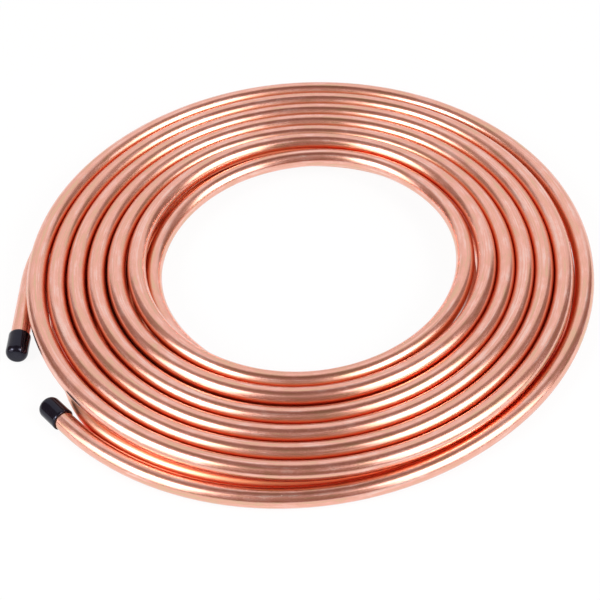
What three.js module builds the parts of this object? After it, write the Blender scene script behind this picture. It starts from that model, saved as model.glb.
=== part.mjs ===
// Coil of soft copper tube: one long tube wound as two flat layers lying on each other, with both
// ends on the outside, each closed by a push-on vinyl cap.
// Millimetres, +Z up. The coil lies on the plane z = 0, its axis along Z, and +Y is its back.
import * as THREE from 'three';
import { mergeVertices } from 'three/addons/utils/BufferGeometryUtils.js';

// --- Tube section -------------------------------------------------------------------------------
const TUBE_DIAMETER = 10;
const TUBE_WALL = 0.8;
const TUBE_SIDES = 8;
const BORE_SIDES = 6;

// --- Winding ------------------------------------------------------------------------------------
const OUTER_TURN_RADIUS = 148;    // centreline of the outermost ring of the upper layer
const UPPER_TURNS = 7;            // from the outer end inwards
const LOWER_TURNS = 4.888;        // from the inner crossing outwards to the other end
const TURN_GAP = 0.2;             // air between neighbouring rings
const LAYER_GAP = 0.2;            // air between the two layers
const START_BEARING = 217.5;      // degrees from +X, where the upper layer's winding starts
const STEPS_PER_TURN = 24;

// --- Steps from ring to ring, in turns --------------------------------------------------------------
const UPPER_STEP_TURNS = 0.62;    // an upper turn moves in by one pitch over this stretch
const UPPER_STEP_LEAD = 0.28;     // the middle one of these steps starts this long before its turn
const UPPER_STEP_DRIFT = 0.04;    // and each next one this much earlier
const LOWER_STEP_START = 0.25;    // a lower turn starts to move out this far into the turn
const LOWER_STEP_TURNS = 0.75;
const LOWER_FIRST_TURNS = 0.3;    // the second lower turn moves out at once, over this stretch

// --- The outermost turns --------------------------------------------------------------------------
const OUTER_CLIMB_TURNS = 0.87;   // the upper one climbs from the floor onto the lower layer
const OUTER_BOW = 0.3 * TUBE_DIAMETER; // and bows outwards half-way, by this much
const OUTER_BOW_START = 0.25;
const OUTER_BOW_TURNS = 0.25;
const OUTER_RETURN_START = 0.5;
const OUTER_RETURN_TURNS = 0.25;
const CROSSING_START = 0.5;       // it rises a little more over the other end of the tube
const CROSSING_TURNS = 0.2;
const SETTLE_START = 0.95;        // and settles onto the lower layer
const SETTLE_TURNS = 0.25;
const HUG_LEAD = 0.065;           // the lower one swings out to lie against the upper one's free end
const HUG_TURNS = 0.085;

// --- The innermost turns --------------------------------------------------------------------------
const INNER_RISE = 0.23 * TUBE_DIAMETER; // the last ring but one lies this much higher
const INNER_RISE_LEAD = 2.4;      // from this many turns before the upper layer ends
const INNER_RISE_TURNS = 0.6;
const INNER_FALL_LEAD = 1.1;
const INNER_FALL_TURNS = 0.4;
const INNER_BOW = 0.19 * TUBE_DIAMETER; // the last one bows towards the middle by this much
const INNER_BOW_LEAD = 0.92;
const INNER_BOW_TURNS = 0.2;
const INNER_RETURN_LEAD = 0.7;
const INNER_RETURN_TURNS = 0.17;
const INNER_TUCK = 0.15 * TUBE_DIAMETER; // and turns in again as it sinks
const INNER_TUCK_LEAD = 0.44;
const INNER_TUCK_TURNS = 0.12;
const INNER_SWING = 0.32 * TUBE_DIAMETER; // and once more where it meets the floor
const INNER_SWING_LEAD = 0.13;
const INNER_SWING_TURNS = 0.16;
const DESCENT_LEAD = 0.43;        // it starts to sink to the floor this long before its end
const DESCENT_TURNS = 0.53;
const DIVE_TURNS = 0.3;           // the tube then turns outwards again

// --- Free ends ------------------------------------------------------------------------------------
const UPPER_TAIL_FLARE = 1.15 * TUBE_DIAMETER; // the upper one stands off from its ring
const UPPER_TAIL_START = -0.05;
const UPPER_TAIL_TURNS = 0.3;
const UPPER_TAIL_STRAIGHT = 15;   // straight tube beyond the winding
const LOWER_TAIL_TURNS = 0.11;
const LOWER_TAIL_OUTSET = 0.6 * TUBE_DIAMETER; // the lower one leaves below the outermost turn
const LOWER_TAIL_STRAIGHT = 51;
const LOWER_LIFT_TURNS = 0.05;    // the tube rises to its cap's height over this stretch

// --- End caps -------------------------------------------------------------------------------------
const CAP_WALL = 0.65;
const CAP_CLEARANCE = 0.3;
const CAP_LENGTH = 14.8;
const CAP_DOME_HEIGHT = 4;
const CAP_DOME_STEPS = 4;
const CAP_SIDES = 8;

// --- Values that follow from the sizes above --------------------------------------------------------
const tubeRadius = TUBE_DIAMETER / 2;
const boreRadius = tubeRadius - TUBE_WALL;
const turnPitch = TUBE_DIAMETER + TURN_GAP;
const floorHeight = tubeRadius;
const upperHeight = floorHeight + TUBE_DIAMETER + LAYER_GAP;
const capInnerRadius = tubeRadius + CAP_CLEARANCE;
const capOuterRadius = capInnerRadius + CAP_WALL;
const tailHeight = capOuterRadius;
const tailLift = tailHeight - floorHeight;
const totalTurns = UPPER_TURNS + LOWER_TURNS;
const lowerRings = Math.ceil(LOWER_TURNS);

const { smoothstep, lerp, degToRad } = THREE.MathUtils;

// Rises smoothly from 0 to 1 over a stretch of the winding, measured in turns.
function over(turns, start, stretch) {
  return smoothstep(turns, start, start + stretch);
}

// The centreline, measured in turns from the end on the upper layer. Seen from above it runs
// counter-clockwise: inwards through the upper layer and outwards through the lower one. Both layers
// are rings, and each turn steps to the next ring at the same side of the coil.
function upperSteps(turns) {
  let steps = 0;
  for (let ring = 1; ring < UPPER_TURNS; ring++) {
    const drift = UPPER_STEP_DRIFT * (ring - UPPER_TURNS / 2);
    steps += over(turns, ring - UPPER_STEP_LEAD - drift, UPPER_STEP_TURNS);
  }
  return steps;
}

// How far the free end of the upper layer stands off from its ring.
function tailFlare(turns) {
  return UPPER_TAIL_FLARE * (1 - over(turns, UPPER_TAIL_START, UPPER_TAIL_TURNS));
}

function upperRadius(turns) {
  const bowedOut = over(turns, OUTER_BOW_START, OUTER_BOW_TURNS)
    - over(turns, OUTER_RETURN_START, OUTER_RETURN_TURNS);
  const bowedIn = over(turns, UPPER_TURNS - INNER_BOW_LEAD, INNER_BOW_TURNS)
    - over(turns, UPPER_TURNS - INNER_RETURN_LEAD, INNER_RETURN_TURNS);
  const tucked = over(turns, UPPER_TURNS - INNER_TUCK_LEAD, INNER_TUCK_TURNS);
  const swung = over(turns, UPPER_TURNS - INNER_SWING_LEAD, INNER_SWING_TURNS);
  return OUTER_TURN_RADIUS - turnPitch * upperSteps(turns) + tailFlare(turns)
    + OUTER_BOW * bowedOut - INNER_BOW * bowedIn - INNER_TUCK * tucked - INNER_SWING * swung;
}

// The first lower turn keeps its radius, so that it stays hidden below the upper layer.
function lowerSteps(wound) {
  let steps = over(wound, 1, LOWER_FIRST_TURNS);
  for (let ring = 1; ring < lowerRings; ring++) {
    steps += over(wound, ring + LOWER_STEP_START, LOWER_STEP_TURNS);
  }
  return steps;
}

function lowerRadius(turns) {
  const wound = Math.max(0, turns - UPPER_TURNS);
  const outermost = wound - lowerRings + 1;
  const hugged = tailFlare(outermost) * over(outermost, -HUG_LEAD, HUG_TURNS);
  const tail = over(wound, LOWER_TURNS - LOWER_TAIL_TURNS, LOWER_TAIL_TURNS);
  return OUTER_TURN_RADIUS - turnPitch * (lowerRings - lowerSteps(wound))
    + hugged + LOWER_TAIL_OUTSET * tail;
}

function coilRadius(turns) {
  return lerp(upperRadius(turns), lowerRadius(turns), over(turns, UPPER_TURNS, DIVE_TURNS));
}

function coilHeight(turns) {
  const climbed = over(turns, 0, OUTER_CLIMB_TURNS);
  const crossed = over(turns, CROSSING_START, CROSSING_TURNS);
  const settled = over(turns, SETTLE_START, SETTLE_TURNS);
  const raised = over(turns, UPPER_TURNS - INNER_RISE_LEAD, INNER_RISE_TURNS);
  const fallen = over(turns, UPPER_TURNS - INNER_FALL_LEAD, INNER_FALL_TURNS);
  const sunk = over(turns, UPPER_TURNS - DESCENT_LEAD, DESCENT_TURNS);
  const lifted = over(turns, totalTurns - LOWER_LIFT_TURNS, LOWER_LIFT_TURNS);
  const upper = lerp(tailHeight, upperHeight, climbed)
    + tailLift * (crossed - settled) + INNER_RISE * (raised - fallen);
  return lerp(upper, floorHeight, sunk) + tailLift * lifted;
}

function coilPoint(turns) {
  const bearing = degToRad(START_BEARING) + 2 * Math.PI * turns;
  const radius = coilRadius(turns);
  return new THREE.Vector3(radius * Math.cos(bearing), radius * Math.sin(bearing), coilHeight(turns));
}

function tangentAt(turns) {
  const reach = 1e-4;
  return coilPoint(turns + reach).sub(coilPoint(turns - reach)).normalize();
}

function station(turns, straight = 0) {
  const tangent = tangentAt(turns);
  return { point: coilPoint(turns).addScaledVector(tangent, straight), tangent };
}

// The stations lie on the same bearings in every turn, with a straight stretch added at each end.
function coilStations() {
  const steps = Math.round(totalTurns * STEPS_PER_TURN);
  const wound = Array.from({ length: steps + 1 }, (_, i) => station(i / STEPS_PER_TURN));
  wound[steps] = station(totalTurns);
  return [
    station(0, -UPPER_TAIL_STRAIGHT),
    ...wound,
    station(totalTurns, LOWER_TAIL_STRAIGHT),
  ];
}

// The curve that the section is swept along. Its frames stay upright, so that neighbouring turns
// show each other flat, parallel faces.
class StationCurve extends THREE.Curve {
  constructor(stations) {
    super();
    this.stations = stations;
  }

  getPoint(share, target = new THREE.Vector3()) {
    return target.copy(this.stations[Math.round(share * (this.stations.length - 1))].point);
  }

  getSpacedPoints() {
    return this.stations.map(({ point }) => point.clone());
  }

  computeFrenetFrames() {
    const up = new THREE.Vector3(0, 0, 1);
    const tangents = this.stations.map(({ tangent }) => tangent.clone());
    const binormals = tangents.map((tangent) => (
      up.clone().addScaledVector(tangent, -up.dot(tangent)).normalize()
    ));
    const normals = tangents.map((tangent, i) => binormals[i].clone().cross(tangent));
    return { tangents, normals, binormals };
  }
}

// A regular polygon whose flats, not its corners, lie at the given radius, with one flat underneath.
function flatSidedRing(radius, sides) {
  const cornerRadius = radius / Math.cos(Math.PI / sides);
  return Array.from({ length: sides }, (_, i) => {
    const angle = (2 * Math.PI * (i + 0.5)) / sides - Math.PI / 2;
    return new THREE.Vector2(cornerRadius * Math.cos(angle), cornerRadius * Math.sin(angle));
  });
}

function closedBody(geometry) {
  geometry.deleteAttribute('normal');
  geometry.deleteAttribute('uv');
  return mergeVertices(geometry, 1e-4);
}

function copperTube() {
  const section = new THREE.Shape(flatSidedRing(tubeRadius, TUBE_SIDES));
  section.holes.push(new THREE.Path(flatSidedRing(boreRadius, BORE_SIDES)));
  const stations = coilStations();
  return new THREE.ExtrudeGeometry(section, {
    steps: stations.length - 1,
    extrudePath: new StationCurve(stations),
  });
}

// A blind cup with a rounded end, its mouth at y = 0 and its closed end towards +Y.
function endCap() {
  const shoulder = CAP_LENGTH - CAP_DOME_HEIGHT;
  const profile = [new THREE.Vector2(0, CAP_LENGTH)];
  for (let i = 1; i <= CAP_DOME_STEPS; i++) {
    const angle = (Math.PI / 2) * (i / CAP_DOME_STEPS);
    profile.push(new THREE.Vector2(
      capOuterRadius * Math.sin(angle),
      shoulder + CAP_DOME_HEIGHT * Math.cos(angle),
    ));
  }
  profile.push(new THREE.Vector2(capOuterRadius, 0));
  profile.push(new THREE.Vector2(capInnerRadius, 0));
  profile.push(new THREE.Vector2(capInnerRadius, shoulder));
  profile.push(new THREE.Vector2(0, shoulder));
  const cornerScale = 1 / Math.cos(Math.PI / CAP_SIDES);
  const corners = profile.map((point) => new THREE.Vector2(point.x * cornerScale, point.y));
  return new THREE.LatheGeometry(corners.reverse(), CAP_SIDES, Math.PI / CAP_SIDES);
}

const copper = new THREE.MeshStandardMaterial({ color: 0xd9987c, roughness: 0.25, metalness: 1 });
const blackVinyl = new THREE.MeshStandardMaterial({ color: 0x101114, roughness: 0.3, metalness: 0 });

function namedMesh(name, geometry, material) {
  const mesh = new THREE.Mesh(closedBody(geometry), material);
  mesh.name = name;
  return mesh;
}

// Sets a cap over an end of the tube: outwards is the way that the tube's end points.
function seatCap(cap, endPoint, outwards) {
  const seat = CAP_LENGTH - CAP_DOME_HEIGHT - CAP_CLEARANCE;
  const side = new THREE.Vector3().crossVectors(outwards, new THREE.Vector3(0, 0, 1)).normalize();
  const across = new THREE.Vector3().crossVectors(side, outwards);
  cap.setRotationFromMatrix(new THREE.Matrix4().makeBasis(side, outwards, across));
  cap.position.copy(endPoint).addScaledVector(outwards, -seat);
  return cap;
}

const coil = new THREE.Group();
coil.add(namedMesh('copper_tube', copperTube(), copper));
coil.add(seatCap(
  namedMesh('end_cap_upper', endCap(), blackVinyl),
  station(0, -UPPER_TAIL_STRAIGHT).point,
  tangentAt(0).negate(),
));
coil.add(seatCap(
  namedMesh('end_cap_lower', endCap(), blackVinyl),
  station(totalTurns, LOWER_TAIL_STRAIGHT).point,
  tangentAt(totalTurns),
));

// The origin goes below the middle of the coil's box, on the plane that it lies on.
const box = new THREE.Box3().setFromObject(coil, true);
const middle = box.getCenter(new THREE.Vector3());
coil.position.set(-middle.x, -middle.y, -box.min.z);

export default coil;
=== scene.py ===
# %% [markdown]
# # A coil of soft copper tube
#
# Copper tube for water, gas and cooling pipes is sold in coils. One tube, nine metres long and as
# thick as a finger, is wound in two flat layers, and a soft black cap is pushed over each end to
# keep dirt out. The coil is nothing but a long curve with a round section, so nearly all of the
# work lies in two things: where the curve runs, and how bright bare metal looks.
#
# This lesson makes the tube with Geometry Nodes, turns the caps from a drawn profile, builds both
# finishes out of nodes, and sets up a plain pale studio.

# %% Tools
import math

import bpy
from mathutils import Matrix, Vector


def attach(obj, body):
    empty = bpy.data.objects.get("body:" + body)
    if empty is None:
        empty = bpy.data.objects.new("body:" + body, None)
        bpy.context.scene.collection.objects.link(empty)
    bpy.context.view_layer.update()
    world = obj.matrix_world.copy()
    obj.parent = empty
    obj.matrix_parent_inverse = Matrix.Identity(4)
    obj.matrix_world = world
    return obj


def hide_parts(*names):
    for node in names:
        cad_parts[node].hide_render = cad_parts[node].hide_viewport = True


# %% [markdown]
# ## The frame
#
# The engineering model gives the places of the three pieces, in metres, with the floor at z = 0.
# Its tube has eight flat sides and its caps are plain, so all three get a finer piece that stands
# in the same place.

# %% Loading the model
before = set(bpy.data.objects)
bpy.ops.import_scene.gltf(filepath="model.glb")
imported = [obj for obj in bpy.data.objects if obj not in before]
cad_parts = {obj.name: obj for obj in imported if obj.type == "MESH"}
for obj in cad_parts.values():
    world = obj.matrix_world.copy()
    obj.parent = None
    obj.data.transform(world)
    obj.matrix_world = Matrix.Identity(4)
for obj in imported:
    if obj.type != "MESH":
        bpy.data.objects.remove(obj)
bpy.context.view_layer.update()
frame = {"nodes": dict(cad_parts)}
print("nodes:", ", ".join(frame["nodes"]))

# %% [markdown]
# ## Sizes
#
# A tube is known by its outside diameter and its wall. Everything here is in millimetres, as on a
# drawing, and one factor turns it into Blender's metres at the end.
#
# The model keeps a little air between turns that touch on a real coil. So that it doesn't show as
# slits, the tube is shown a little thicker than it is.

# %% Sizes of the tube and of its winding
MM = 0.001

TUBE_DIAMETER = 10.0
TUBE_WALL = 0.8
AIR = 0.2
SHOWN_RADIUS = 5.07
UPPER_TURNS = 7
LOWER_TURNS = 4.888
OUTER_TURN_RADIUS = 148.0
START_BEARING = 217.5
TURN_PITCH = TUBE_DIAMETER + AIR
FLOOR_HEIGHT = TUBE_DIAMETER / 2
UPPER_HEIGHT = FLOOR_HEIGHT + TUBE_DIAMETER + AIR
CAP_RADIUS = 5.95
TAIL_LIFT = CAP_RADIUS - FLOOR_HEIGHT
TOTAL_TURNS = UPPER_TURNS + LOWER_TURNS
UPPER_STRAIGHT = 15.0
LOWER_STRAIGHT = 51.0
print(f"{TOTAL_TURNS} turns of {TUBE_DIAMETER} mm tube")

# %% [markdown]
# ## Where the tube runs
#
# A machine winds soft tube in rings: it goes round at one radius and then steps over to the next,
# at about the same part of every round. So the curve isn't a smooth spiral. It is a row of rings,
# and each step is a smooth blend from one radius to the next. The same kind of blend lifts the tube
# from layer to layer.
#
# The place along the tube is counted in turns, from the end that lies on the upper layer. The tube
# runs inwards through seven rings, sinks to the floor, and comes outwards through five more. It
# starts at the front left and goes counter-clockwise, as seen from above.

# %% A smooth step between two values
def over(turns, start, stretch):
    """Rises smoothly from 0 to 1 over a stretch of the winding."""
    share = min(1.0, max(0.0, (turns - start) / stretch))
    return share * share * (3 - 2 * share)


def lerp(a, b, share):
    return a + (b - a) * share


print("a quarter, a half and three quarters of a step:", [over(i / 4, 0, 1) for i in (1, 2, 3)])

# %% [markdown]
# Three things change the radius of the upper layer. The rings step inwards, each a little earlier
# than the one before. The free end flares away from its ring, and the outermost ring bows out
# half-way. The innermost ring bows, tucks and swings towards the middle as it sinks to the floor.
# Each of these bends is a row of two numbers: where it starts, and over how many turns it goes.

# %% The radius in the upper layer
STEP_TURNS = 0.62
STEP_LEAD = 0.28
STEP_DRIFT = 0.04

FLARE, FLARE_BEND = 11.5, (-0.05, 0.3)
OUTER_BOW, OUTER_BOW_OUT, OUTER_BOW_BACK = 3.0, (0.25, 0.25), (0.5, 0.25)
INNER_BOW = 1.9
INNER_BOW_IN, INNER_BOW_BACK = (UPPER_TURNS - 0.92, 0.2), (UPPER_TURNS - 0.7, 0.17)
INNER_TUCK, INNER_TUCK_IN = 1.5, (UPPER_TURNS - 0.44, 0.12)
INNER_SWING, INNER_SWING_IN = 3.2, (UPPER_TURNS - 0.13, 0.16)


def bump(turns, rise, fall):
    """Rises from 0 to 1 over the first bend and falls back to 0 over the second."""
    return over(turns, *rise) - over(turns, *fall)


def tail_flare(turns):
    """How far the free end of the upper layer stands off from its ring."""
    return FLARE * (1 - over(turns, *FLARE_BEND))


def upper_radius(turns):
    steps = sum(
        over(turns, ring - STEP_LEAD - STEP_DRIFT * (ring - UPPER_TURNS / 2), STEP_TURNS)
        for ring in range(1, UPPER_TURNS)
    )
    bends = OUTER_BOW * bump(turns, OUTER_BOW_OUT, OUTER_BOW_BACK)
    bends -= INNER_BOW * bump(turns, INNER_BOW_IN, INNER_BOW_BACK)
    bends -= INNER_TUCK * over(turns, *INNER_TUCK_IN) + INNER_SWING * over(turns, *INNER_SWING_IN)
    return OUTER_TURN_RADIUS - TURN_PITCH * steps + tail_flare(turns) + bends


upper_ends = upper_radius(0.5), upper_radius(UPPER_TURNS - 0.5)
print("first and last upper ring:", [round(radius, 1) for radius in upper_ends], "mm")

# %% [markdown]
# The lower layer is simpler. Its second turn moves out at once, the later ones over three quarters
# of a turn. At the end it swings out to lie against the free end of the upper layer, and stands off
# a little more where it leaves the coil.

# %% The radius in the lower layer, and in both
LOWER_RINGS = math.ceil(LOWER_TURNS)
FIRST_STEP = (1, 0.3)
LOWER_STEP_START, LOWER_STEP_TURNS = 0.25, 0.75
HUG = (-0.065, 0.085)
OUTSET, OUTSET_TURNS = 6.0, 0.11
DIVE_TURNS = 0.3


def lower_radius(turns):
    wound = max(0.0, turns - UPPER_TURNS)
    steps = over(wound, *FIRST_STEP) + sum(
        over(wound, ring + LOWER_STEP_START, LOWER_STEP_TURNS) for ring in range(1, LOWER_RINGS)
    )
    outermost = wound - math.floor(LOWER_TURNS)
    hugged = tail_flare(outermost) * over(outermost, *HUG)
    outset = OUTSET * over(wound, LOWER_TURNS - OUTSET_TURNS, OUTSET_TURNS)
    return OUTER_TURN_RADIUS - TURN_PITCH * (LOWER_RINGS - steps) + hugged + outset


def coil_radius(turns):
    return lerp(upper_radius(turns), lower_radius(turns), over(turns, UPPER_TURNS, DIVE_TURNS))


lower_ends = lower_radius(UPPER_TURNS + 0.5), lower_radius(TOTAL_TURNS - 0.5)
print("first and last lower ring:", [round(radius, 1) for radius in lower_ends], "mm")

# %% [markdown]
# The height follows the same pattern. The free end lies on the floor and its ring climbs onto the
# lower layer, with a little hump where it crosses the other end. The last ring but one lies a bit
# higher than the rest, and the innermost ring sinks to the floor.

# %% The height at each place
CLIMB_TURNS = 0.87
CROSSING, SETTLING = (0.5, 0.2), (0.95, 0.25)
INNER_RISE = 2.3
INNER_RISE_UP, INNER_RISE_DOWN = (UPPER_TURNS - 2.4, 0.6), (UPPER_TURNS - 1.1, 0.4)
DESCENT = (UPPER_TURNS - 0.43, 0.53)
LIFT_TURNS = 0.05


def coil_height(turns):
    upper = lerp(CAP_RADIUS, UPPER_HEIGHT, over(turns, 0, CLIMB_TURNS))
    upper += TAIL_LIFT * bump(turns, CROSSING, SETTLING)
    upper += INNER_RISE * bump(turns, INNER_RISE_UP, INNER_RISE_DOWN)
    sunk = over(turns, *DESCENT)
    lifted = over(turns, TOTAL_TURNS - LIFT_TURNS, LIFT_TURNS)
    return lerp(upper, FLOOR_HEIGHT, sunk) + TAIL_LIFT * lifted


heights = [coil_height(TOTAL_TURNS * i / 600) for i in range(601)]
print("highest point of the centreline:", round(max(heights), 1), "mm")

# %% [markdown]
# The rings have their own centre. The model's origin lies below the middle of its box instead, and
# the two ends make that box lopsided, so every point is shifted by the same small amount.

# %% Points along the tube
def wound_point(turns):
    bearing = math.radians(START_BEARING + 360 * turns)
    radius = coil_radius(turns)
    return Vector((radius * math.cos(bearing), radius * math.sin(bearing), coil_height(turns)))


def direction(turns):
    reach = 1e-4
    return (wound_point(turns + reach) - wound_point(turns - reach)).normalized()


POINTS_PER_TURN = 144
steps = round(TOTAL_TURNS * POINTS_PER_TURN)
path = [wound_point(TOTAL_TURNS * i / steps) for i in range(steps + 1)]
path.insert(0, path[0] - UPPER_STRAIGHT * direction(0))
path.append(path[-1] + LOWER_STRAIGHT * direction(TOTAL_TURNS))

shift = Vector((4.154, 1.408, 0.0))
path = [(point + shift) * MM for point in path]
length = sum((b - a).length for a, b in zip(path, path[1:]))
print(f"{len(path)} points, {length:.2f} m of tube, shift {shift.x:.2f} {shift.y:.2f} mm")

# %% [markdown]
# ## Building node trees by script
#
# Geometry Nodes and materials are both trees of nodes. Writing them line by line is long, so one
# small class adds a node, sets it and plugs its sockets, and a second one wraps a socket so that
# plain sums such as `1 - 0.5 * mask` add the Math nodes by themselves.

# %% A socket that can be used in sums
class Value:
    def __init__(self, nodes, socket):
        self.nodes = nodes
        self.socket = socket

    def math(self, operation, *terms):
        return self.nodes.add("ShaderNodeMath", {"operation": operation}, dict(enumerate(terms)))

    def __add__(self, other):
        return self.math("ADD", self, other)

    def __mul__(self, other):
        return self.math("MULTIPLY", self, other)

    def __sub__(self, other):
        return self.math("SUBTRACT", self, other)

    def __rsub__(self, other):
        return self.math("SUBTRACT", other, self)

    __radd__ = __add__
    __rmul__ = __mul__


# %% A tree of nodes with one method that adds any node
class Nodes:
    def __init__(self, tree):
        self.tree = tree

    def plug(self, node, name, value):
        socket = node.inputs[name]
        if isinstance(value, Value):
            self.tree.links.new(value.socket, socket)
        else:
            socket.default_value = value

    def add(self, kind, settings=None, inputs=None, output=0):
        node = self.tree.nodes.new(kind)
        for name, value in (settings or {}).items():
            if name == "stops":
                self.set_stops(node.color_ramp, value)
            else:
                setattr(node, name, value)
        for name, value in (inputs or {}).items():
            self.plug(node, name, value)
        return Value(self, node.outputs[output])

    @staticmethod
    def set_stops(ramp, stops):
        while len(ramp.elements) < len(stops):
            ramp.elements.new(1.0)
        for element, (place, colour) in zip(ramp.elements, stops):
            element.position = place
            element.color = (*colour, 1.0) if len(colour) == 3 else colour


# %% [markdown]
# ## The tube
#
# The real tube is drawn: a thick copper pipe is pulled through smaller and smaller rings, which is
# why its section is a true circle and why faint straight lines run all along it. Sweeping a circle
# along the curve says the same thing in Geometry Nodes, and Curve to Mesh does it in one node. A
# chain of cylinders would have to be fitted at every joint, and a bevelled curve could not carry
# the extra data below.
#
# Two things are stored on the way. The sweep keeps the curve's frames upright, and every point of
# the skin remembers where it sits in the round section and how far along the tube it lies. The
# copper finish later draws its lines with this, so they follow every bend.

# %% The line that the circle follows
path_mesh = bpy.data.meshes.new("tube_path")
path_mesh.from_pydata(path, [(i, i + 1) for i in range(len(path) - 1)], [])
tube_path = bpy.data.objects.new("tube_path", path_mesh)
bpy.context.collection.objects.link(tube_path)
print("line with", len(path_mesh.vertices), "points")

# %% The nodes that sweep the circle
def sweep_tree(finish):
    tree = bpy.data.node_groups.new("swept_tube", "GeometryNodeTree")
    sockets = tree.interface
    sockets.new_socket("Path", in_out="INPUT", socket_type="NodeSocketGeometry")
    sockets.new_socket("Radius", in_out="INPUT", socket_type="NodeSocketFloat")
    sockets.new_socket("Sides", in_out="INPUT", socket_type="NodeSocketInt")
    sockets.new_socket("Tube", in_out="OUTPUT", socket_type="NodeSocketGeometry")
    nodes = Nodes(tree)
    given = tree.nodes.new("NodeGroupInput")
    start = Value(nodes, given.outputs["Path"])
    radius = Value(nodes, given.outputs["Radius"])
    sides = Value(nodes, given.outputs["Sides"])

    line = nodes.add("GeometryNodeMeshToCurve", None, {"Mesh": start})
    upright = nodes.add("GeometryNodeSetCurveNormal", {"mode": "Z_UP"}, {"Curve": line})
    run = nodes.add("GeometryNodeSplineParameter", output="Length")
    path_kept = nodes.add(
        "GeometryNodeStoreNamedAttribute",
        {"data_type": "FLOAT", "domain": "POINT"},
        {"Geometry": upright, "Name": "along", "Value": run},
    )
    ring = nodes.add(
        "GeometryNodeCurvePrimitiveCircle",
        {"mode": "RADIUS"},
        {"Resolution": sides, "Radius": radius},
    )
    ring_kept = nodes.add(
        "GeometryNodeStoreNamedAttribute",
        {"data_type": "FLOAT_VECTOR", "domain": "POINT"},
        {"Geometry": ring, "Name": "section", "Value": nodes.add("GeometryNodeInputPosition")},
    )
    curves = {"Curve": path_kept, "Profile Curve": ring_kept}
    skin = nodes.add("GeometryNodeCurveToMesh", None, curves)
    smooth = nodes.add("GeometryNodeSetShadeSmooth", None, {0: skin})
    whole = nodes.add("GeometryNodeRealizeInstances", None, {0: smooth})
    made = nodes.add("GeometryNodeSetMaterial", None, {"Geometry": whole, "Material": finish})
    tree.links.new(made.socket, tree.nodes.new("NodeGroupOutput").inputs[0])
    return tree


# %% [markdown]
# ## The finish of drawn copper
#
# Bare copper is a mirror with a colour. Its pink is the colour of white light after one bounce,
# and most of the deep red in the grooves is the same light after three or four bounces between
# neighbouring turns. The grooves also get painted shade: Ambient Occlusion measures how open a
# place is, and where it is low the base colour is painted a darker, deep red. The skin there is
# made duller as well.
#
# What makes it drawn copper and not a polished ball are the lines. They come from two noises, a
# fine and a broader one, that change fast across the tube and slowly along it. A third noise in
# short streaks breaks them up, as hands and air do, and a ramp turns all three into four close
# shades, from a greenish to a pale pink one.

# %% Copper
def new_finish(name):
    material = bpy.data.materials.new(name)
    material.use_nodes = True
    return material, Nodes(material.node_tree), material.node_tree.nodes["Principled BSDF"]


copper, nodes, shader = new_finish("drawn_copper")


def attribute(name, output):
    return nodes.add("ShaderNodeAttribute", {"attribute_name": name}, output=output)


def noise(place, scale, detail=3.0, roughness=0.5):
    return nodes.add(
        "ShaderNodeTexNoise",
        None,
        {"Vector": place, "Scale": scale, "Detail": detail, "Roughness": roughness},
    )


def stretched(scale_across, scale_along):
    """A place on the tube, in metres, scaled apart across the section and along the tube."""
    across = nodes.add(
        "ShaderNodeVectorMath",
        {"operation": "SCALE"},
        {0: attribute("section", "Vector"), "Scale": scale_across},
    )
    along = attribute("along", "Fac") * scale_along
    lift = nodes.add("ShaderNodeCombineXYZ", None, {"Z": along})
    return nodes.add("ShaderNodeVectorMath", {"operation": "ADD"}, {0: across, 1: lift})


fine_lines = noise(stretched(1500.0, 25.0), 1.0, 2.0, 0.6)
broad_lines = noise(stretched(520.0, 16.0), 1.0, 2.0, 0.5)
clouds = noise(stretched(260.0, 90.0), 1.0, 3.0, 0.6)
lines = 0.6 * fine_lines + 0.4 * broad_lines
print("copper has", len(copper.node_tree.nodes), "nodes so far")

# %% Copper: colour, gloss and relief
MIX_A, MIX_B, MIX_RESULT = 6, 7, 2


def mixed_colour(factor, first, second):
    """A blend of two colours, by the numbers of the Mix node's sockets for colours."""
    sockets = {"Factor": factor, MIX_A: first, MIX_B: second}
    return nodes.add("ShaderNodeMix", {"data_type": "RGBA"}, sockets, MIX_RESULT)


tones = [
    (0.40, (0.79, 0.50, 0.34)),
    (0.47, (0.87, 0.46, 0.35)),
    (0.53, (0.93, 0.49, 0.40)),
    (0.60, (0.95, 0.63, 0.54)),
]
tone = nodes.add("ShaderNodeValToRGB", {"stops": tones}, {"Fac": 0.4 * clouds + 0.6 * lines})
# Painted shade: where Ambient Occlusion is low, between the turns, the base colour turns a darker,
# deep red.
openness = nodes.add("ShaderNodeAmbientOcclusion", {"samples": 16}, {"Distance": 0.006}, "AO")
groove_shade_and_dullness = nodes.add(
    "ShaderNodeMapRange",
    {"interpolation_type": "SMOOTHSTEP"},
    {"Value": openness, "From Min": 0.85, "From Max": 0.45},
)
groove_shade_reds = [(0.15, (0.93, 0.11, 0.035)), (0.35, (0.87, 0.30, 0.14)), (0.6, (0.83, 0.40, 0.25))]
groove_shade_red = nodes.add("ShaderNodeValToRGB", {"stops": groove_shade_reds}, {"Fac": openness})
nodes.plug(shader, "Base Color", mixed_colour(groove_shade_and_dullness, tone, groove_shade_red))
shader.inputs["Metallic"].default_value = 1.0
nodes.plug(shader, "Roughness", 0.12 + 0.16 * lines + 0.08 * clouds + 0.12 * groove_shade_and_dullness)
relief = nodes.add("ShaderNodeBump", None, {"Strength": 0.12, "Distance": 0.00004, "Height": lines})
nodes.plug(shader, "Normal", relief)
print("copper has", len(copper.node_tree.nodes), "nodes")

# %% [markdown]
# The tree is put on the line as a modifier, and its sizes are its inputs. The swept skin is open
# only at its two ends, and Solidify gives it the real wall, inwards, with a ring at each end. The
# result is then made a plain mesh. The cut ends stay sharp, because smooth shading would bend the
# reflections on the long straight faces beside them.

# %% Sweeping the tube
TUBE_SIDES = 20
SHARP_FROM = 40

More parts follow.
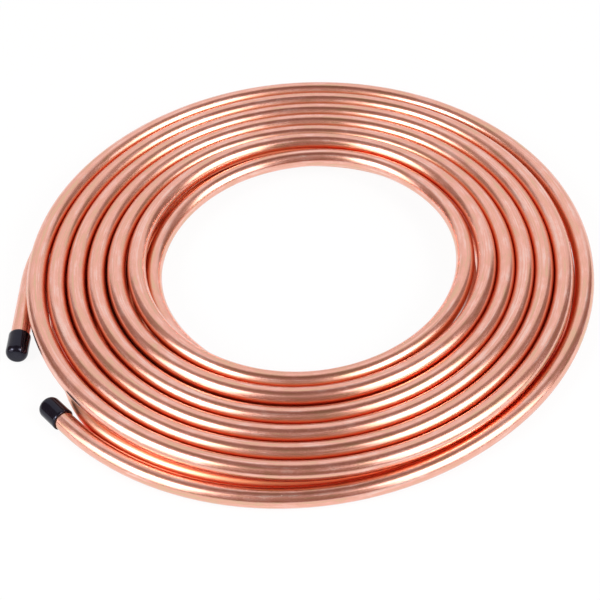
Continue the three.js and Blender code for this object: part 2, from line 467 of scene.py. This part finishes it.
tree = sweep_tree(copper)
modifier = tube_path.modifiers.new("swept_tube", "NODES")
modifier.node_group = tree
for item in tree.interface.items_tree:
    if item.name == "Radius":
        modifier[item.identifier] = SHOWN_RADIUS * MM
    if item.name == "Sides":
        modifier[item.identifier] = TUBE_SIDES


def plain_mesh(source, name):
    """A mesh object made of what the source's modifiers give."""
    evaluated = source.evaluated_get(bpy.context.evaluated_depsgraph_get())
    mesh = bpy.data.meshes.new_from_object(evaluated)
    made = bpy.data.objects.new(name, mesh)
    mesh.name = name
    bpy.context.collection.objects.link(made)
    return made


tube = plain_mesh(tube_path, "drawn_tube")
wall = tube.modifiers.new("wall", "SOLIDIFY")
wall.thickness = TUBE_WALL * MM
wall.offset = -1.0
solid = plain_mesh(tube, "copper_coil")
solid.data.set_sharp_from_angle(angle=math.radians(SHARP_FROM))
bpy.data.objects.remove(tube)
bpy.data.objects.remove(tube_path)
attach(solid, "root")
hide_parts("copper_tube")
print("tube faces:", len(solid.data.polygons))
print("stored with them:", ", ".join(entry.name for entry in solid.data.attributes))

# %% [markdown]
# ## The end caps
#
# The caps are dipped: a warm steel pin is lowered into liquid black vinyl and the skin is peeled
# off. That gives a soft cup with a rounded closed end, a smooth glossy outside and a slightly
# swollen rim at its mouth. Such a cup is a shape of revolution, so half of its outline is drawn,
# outside and inside, and turned about the axis.

# %% The outline of a cap
CAP_LENGTH = 14.8
CAP_SIDES = 48
CAP_BORE = TUBE_DIAMETER / 2 + 0.1
BODY_RADIUS = CAP_RADIUS - 0.05
DOME_WIDTH, DOME_DEPTH = 2.55, 3.6
DOME_STEPS = 10
CLOSED_END = 4.0
INNER_BEVEL = 1.5


def quarter(centre, radii, steps):
    """Points on a quarter of an oval, from its side up to its top."""
    for i in range(steps + 1):
        angle = math.radians(90 * i / steps)
        yield centre[0] + radii[0] * math.cos(angle), centre[1] + radii[1] * math.sin(angle)


def cap_outline():
    """Radius and height of each point, from the bottom inside round the mouth to the closed end."""
    dome_centre = (BODY_RADIUS - DOME_WIDTH, CAP_LENGTH - DOME_DEPTH)
    dome = list(quarter(dome_centre, (DOME_WIDTH, DOME_DEPTH), DOME_STEPS))
    rim = [(CAP_BORE, 0.35), (CAP_BORE + 0.3, 0.05), (CAP_RADIUS - 0.3, 0.0), (CAP_RADIUS, 0.4)]
    body = [(CAP_RADIUS - 0.02, 1.5), (BODY_RADIUS, 3.0), (BODY_RADIUS, 9.0)]
    bottom = CAP_LENGTH - CLOSED_END
    inside = [(0.0, bottom), (CAP_BORE - INNER_BEVEL, bottom), (CAP_BORE, bottom - INNER_BEVEL)]
    return inside + rim + body + dome + [(0.0, CAP_LENGTH)]


print("outline points:", len(cap_outline()))

# %% Turning the outline
def turned(name, outline, sides, place, axis):
    """A solid of revolution about an axis, whose zero height is at the place.

    An outline point on the axis becomes a single point, so the faces around it are triangles.
    """
    across = axis.cross(Vector((0, 0, 1))).normalized()
    upward = across.cross(axis)
    points, faces, rings = [], [], []
    for radius, height in outline:
        first = len(points)
        count = 1 if radius == 0 else sides
        for i in range(count):
            angle = 2 * math.pi * i / sides
            offset = radius * (math.cos(angle) * across + math.sin(angle) * upward)
            points.append((place + offset + height * axis) * MM)
        rings.append([first + (i % count) for i in range(sides)])
    for lower, higher in zip(rings, rings[1:]):
        for i in range(sides):
            j = (i + 1) % sides
            corners = [lower[i], lower[j], higher[j], higher[i]]
            faces.append(list(dict.fromkeys(corners)))
    mesh = bpy.data.meshes.new(name)
    mesh.from_pydata(points, [], faces)
    mesh.shade_smooth()
    made = bpy.data.objects.new(name, mesh)
    bpy.context.collection.objects.link(made)
    return made


# %% [markdown]
# ## The finish of dipped vinyl
#
# Dipped vinyl is black all through and very shiny, but never quite even: the skin ran a little as
# it dried, and handling leaves faint dull patches and scuffs. The unevenness is a soft bump, and
# the dull patches only change the roughness. The gloss is a weak one with a cool tint, which keeps
# the black deep and leaves only the lamps bright in it.

# %% Black vinyl
vinyl, nodes, shader = new_finish("dipped_black_vinyl")
place = nodes.add("ShaderNodeTexCoord", output="Object")
runs = noise(place, 260.0, 2.0, 0.5)
scuffs = noise(place, 900.0, 4.0, 0.6)
shade = nodes.add(
    "ShaderNodeValToRGB",
    {"stops": [(0.35, (0.002, 0.002, 0.005)), (0.7, (0.005, 0.005, 0.010))]},
    {"Fac": 0.5 * runs + 0.5 * scuffs},
)
nodes.plug(shader, "Base Color", shade)
shader.inputs["Specular IOR Level"].default_value = 0.36
shader.inputs["Specular Tint"].default_value = (0.75, 0.75, 1.0, 1.0)
nodes.plug(shader, "Roughness", 0.02 + 0.06 * runs + 0.06 * scuffs)
skin = nodes.add("ShaderNodeBump", None, {"Strength": 0.2, "Distance": 0.0001, "Height": runs})
nodes.plug(shader, "Normal", skin)
print("vinyl has", len(vinyl.node_tree.nodes), "nodes")

# %% [markdown]
# A cap is pushed on nearly to its bottom. The seat is how far its mouth then lies back from the
# cut end of the tube.

# %% Putting the caps on
SEAT = 10.5
for node, end, outwards in (
    ("end_cap_upper", path[0] / MM, -direction(0)),
    ("end_cap_lower", path[-1] / MM, direction(TOTAL_TURNS)),
):
    cap = turned(node + "_dipped", cap_outline(), CAP_SIDES, end - SEAT * outwards, outwards)
    cap.data.materials.append(vinyl)
    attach(cap, "root")
    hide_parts(node)
    print(cap.name, len(cap.data.polygons), "faces")

# %% [markdown]
# ## The studio
#
# Bright metal shows its surroundings, so the studio is as much a part of the picture as the copper
# is. It is a room of warm walls that grow paler upwards, with a ceiling that is dark in the middle
# and a floor of white paper. A wide white wall behind the coil gives the turns their pale tops.
# Two tall soft boxes in front of it, one to the left and one to the right, draw the long streaks,
# and a smaller, brighter lamp in the middle of each makes the streaks white and puts the small
# highlights on the caps. The dark ceiling draws the brown bands beside the streaks.
#
# The floor glows by itself where it is seen or mirrored, so that it is plainly white, and takes its
# shadow from the lamps. Right below the two layers that glow would shine up through the grooves,
# where on real paper it is dark and red from the copper. So a ring of the floor is left unlit, and
# its colour is painted a dark red, as painted shade and painted red light from the copper. Its hole
# lies a little to the back, and its outer edge is that of two overlapping discs, so that it reaches
# furthest at the back left. The camera looks down from the front, and the turns hide both of its
# edges.

# %% A sheet of paper for a floor
HALF_FLOOR = 6.0
corners = [(x * HALF_FLOOR, y * HALF_FLOOR, 0) for x, y in ((-1, -1), (1, -1), (1, 1), (-1, 1))]
floor_mesh = bpy.data.meshes.new("floor")
floor_mesh.from_pydata(corners, [], [(0, 1, 2, 3)])
floor = bpy.data.objects.new("floor", floor_mesh)
bpy.context.collection.objects.link(floor)
print("floor is", 2 * HALF_FLOOR, "m wide")

# %% The paper's finish
PAPER_GLOW = 0.93
PAPER_WHITE = (0.86, 0.86, 0.86, 1.0)
# The dark red under the coil is painted shade and painted red light from the copper.
PAINTED_SHADE_RED = (0.45, 0.10, 0.05, 1.0)
UNLIT_FROM, UNLIT_TO = (0.087, 0.091), (0.1455, 0.148)
TO_THE_BACK = Vector((0, 8, 0))
TO_THE_LEFT = Vector((-2, 4, 0))

paper, nodes, shader = new_finish("white_paper")
grain = noise(nodes.add("ShaderNodeTexCoord", output="Object"), 40.0)
nodes.plug(shader, "Roughness", 0.85 + 0.1 * grain)
glow = nodes.add("ShaderNodeEmission", None, {"Strength": 1.0})
ray = nodes.add("ShaderNodeLightPath", output="Is Camera Ray")
glossy = nodes.add("ShaderNodeLightPath", output="Is Glossy Ray")
clear = nodes.add("ShaderNodeLightPath", output="Is Transmission Ray")
bright = nodes.add("ShaderNodeMath", {"operation": "MAXIMUM"}, {0: ray, 1: glossy + clear})
place = nodes.add("ShaderNodeTexCoord", output="Object")


def outside(centre, start, end):
    """Rises from 0 to 1 between two distances from a centre, in metres."""
    measure = {"operation": "DISTANCE"}
    away = nodes.add("ShaderNodeVectorMath", measure, {0: place, 1: centre * MM}, "Value")
    stretch = {"Value": away, "From Min": start, "From Max": end}
    return nodes.add("ShaderNodeMapRange", {"interpolation_type": "SMOOTHSTEP"}, stretch)


beyond = outside(shift, *UNLIT_TO) * outside(shift + TO_THE_LEFT, *UNLIT_TO)
covered = outside(shift + TO_THE_BACK, *UNLIT_FROM) - beyond
share = PAPER_GLOW * bright * (1 - covered)
# Painted shade: under the coil, the paper's colour is a dark red that stands in for shade and the
# copper's red light.
nodes.plug(shader, "Base Color", mixed_colour(covered, PAPER_WHITE, PAINTED_SHADE_RED))
mixed = nodes.add(
    "ShaderNodeMixShader", None, {0: share, 1: Value(nodes, shader.outputs[0]), 2: glow}
)
nodes.plug(paper.node_tree.nodes["Material Output"], "Surface", mixed)
floor.data.materials.append(paper)
print("paper has", len(paper.node_tree.nodes), "nodes")

# %% [markdown]
# The room is the world itself: one ramp of colours over the height at which a ray leaves. A model
# of a room would give the same reflections with more work, because the coil is tiny in it.

# %% Room
world = bpy.context.scene.world or bpy.data.worlds.new("room")
bpy.context.scene.world = world
world.use_nodes = True
nodes = Nodes(world.node_tree)
room = world.node_tree.nodes["Background"]
way = nodes.add("ShaderNodeTexCoord", output="Generated")
height = nodes.add("ShaderNodeSeparateXYZ", None, {0: way}, "Z")
shades = [
    (0.0, (0.27, 0.15, 0.12)),
    (0.5, (0.31, 0.20, 0.17)),
    (0.87, (0.42, 0.32, 0.29)),
    (0.95, (0.31, 0.21, 0.185)),
    (1.0, (0.21, 0.12, 0.10)),
]
nodes.plug(room, "Color", nodes.add("ShaderNodeValToRGB", {"stops": shades}, {"Fac": height}))
print("room has", len(shades), "shades from floor to ceiling")


# %% [markdown]
# A soft box is a lamp behind white cloth, and an area lamp is the same thing. Its power is worked
# out from the brightness of its cloth, so a larger box isn't a dimmer one. Each is given by its
# bearing in degrees and its distance, its width, the heights of its foot and its top, all in
# metres, and its brightness.

# %% Upright panels of light
def panel(name, bearing, distance, width, foot, top, brightness, colour=(1, 1, 1)):
    """An upright soft box that faces the coil, whose brightness is that of its white cloth."""
    light = bpy.data.lights.new(name, "AREA")
    light.shape = "RECTANGLE"
    light.size, light.size_y = width, top - foot
    light.color = colour
    light.energy = brightness * math.pi * width * (top - foot)
    made = bpy.data.objects.new(name, light)
    angle = math.radians(bearing)
    outwards = Vector((math.cos(angle), math.sin(angle), 0))
    made.location = distance * outwards + Vector((0, 0, (foot + top) / 2))
    made.rotation_euler = (-outwards).to_track_quat("-Z", "Y").to_euler()
    made.visible_camera = False
    bpy.context.collection.objects.link(made)


BOX_BRIGHTNESS = 2.3
CORE_BRIGHTNESS = 13.0
WALL_BRIGHTNESS = 0.68
COOL_WHITE = (0.85, 0.95, 1.0)
LEFT, RIGHT, BACK = -150, -37, 90
AWAY, BEFORE_THE_BOX = 1.5, 1.48

panel("left_box", LEFT, AWAY, 1.3, 0.2, 2.2, BOX_BRIGHTNESS)
panel("right_box", RIGHT, AWAY, 1.6, 0.25, 2.6, BOX_BRIGHTNESS)
panel("left_core", LEFT, BEFORE_THE_BOX, 0.6, 0.9, 1.6, CORE_BRIGHTNESS)
panel("right_core", RIGHT, BEFORE_THE_BOX, 0.6, 0.9, 1.6, CORE_BRIGHTNESS)
panel("white_wall", BACK, AWAY, 4.0, 0.0, 3.0, WALL_BRIGHTNESS, COOL_WHITE)

# %% [markdown]
# ## The camera
#
# The camera stands in front of the coil, looks down on it at a little more than 45 degrees and is
# turned very slightly about its own line of sight.

# %% Camera
LENS = 88.43
TILT, ROLL = 46.17, -3.97
STAND = Vector((shift.x - 5.35, shift.y - 570.66, 579.02))

camera = bpy.data.cameras.new("camera")
camera.lens = LENS
camera.clip_start = 0.01
viewer = bpy.data.objects.new("camera", camera)
tilt, roll = math.radians(TILT), math.radians(ROLL)
ahead = Vector((0, math.cos(tilt), -math.sin(tilt)))
side = Vector((1, 0, 0))
up = Vector((0, math.sin(tilt), math.cos(tilt)))
right = math.cos(roll) * side + math.sin(roll) * up
above = -math.sin(roll) * side + math.cos(roll) * up
turn = Matrix((right, above, -ahead)).transposed()
viewer.matrix_world = Matrix.Translation(STAND * MM) @ turn.to_4x4()
bpy.context.collection.objects.link(viewer)
bpy.context.scene.camera = viewer
bpy.context.scene.view_settings.view_transform = "Standard"
print("camera at", [round(value) for value in STAND], "mm")
